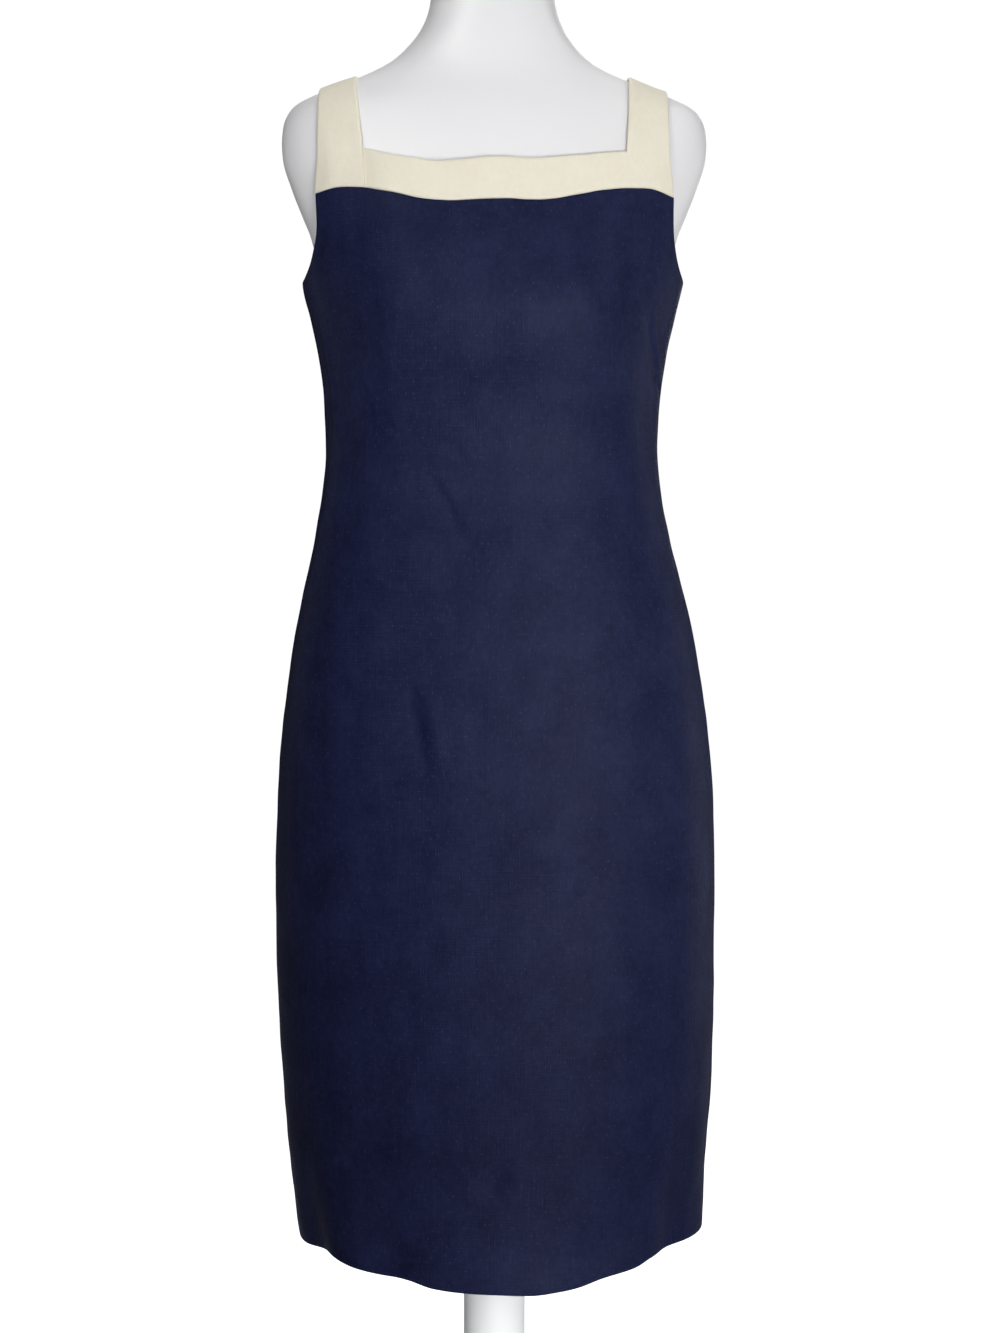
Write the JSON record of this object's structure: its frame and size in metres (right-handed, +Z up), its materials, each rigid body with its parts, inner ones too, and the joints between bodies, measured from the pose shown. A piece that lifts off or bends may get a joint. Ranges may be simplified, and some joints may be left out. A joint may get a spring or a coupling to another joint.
{
  "type": "sheath dress on dress form",
  "caption": "Knee-length sleeveless sheath dress in navy linen with a cream square-neck band and wide straps, on a smooth white limbless dress form with pole and round base.",
  "frame": {"origin": "middle of the round base's underside, on the floor", "axes": "+Z up along the pole; the dress's front faces -Y; +X is a viewer's right"},
  "size_m": [0.38, 0.38, 1.545],
  "materials": {
    "navy_linen": "woven linen, matte, slubbed",
    "cream_linen": "woven linen, matte, slubbed",
    "zip_tape": "woven polyester tape with a fine coil",
    "zip_metal": "dark satin paint",
    "form_shell": "smooth satin white shell",
    "stand_paint": "satin pale grey-white paint"
  },
  "bodies": {
    "dress_and_form": {"front_panel": "navy_linen", "back_panel_left": "navy_linen", "back_panel_right": "navy_linen", "front_band": "cream_linen", "back_band_left": "cream_linen", "back_band_right": "cream_linen", "strap_left": "cream_linen", "strap_right": "cream_linen", "zip_tape": "zip_tape", "zip_slider": "zip_metal", "form_torso": "form_shell", "form_flange": "stand_paint", "form_pole": "stand_paint", "form_base_collar": "stand_paint", "form_base": "stand_paint"},
    "zip_pull": {"zip_pull": "zip_metal"}
  },
  "joints": [
    {"name": "zip_pull_swing", "type": "hinge", "parent": "dress_and_form", "child": "zip_pull", "pos_m": [0, 0.09655, 1.34555], "axis": [1, 0, 0], "range_deg": [0, 165]}
  ]
}
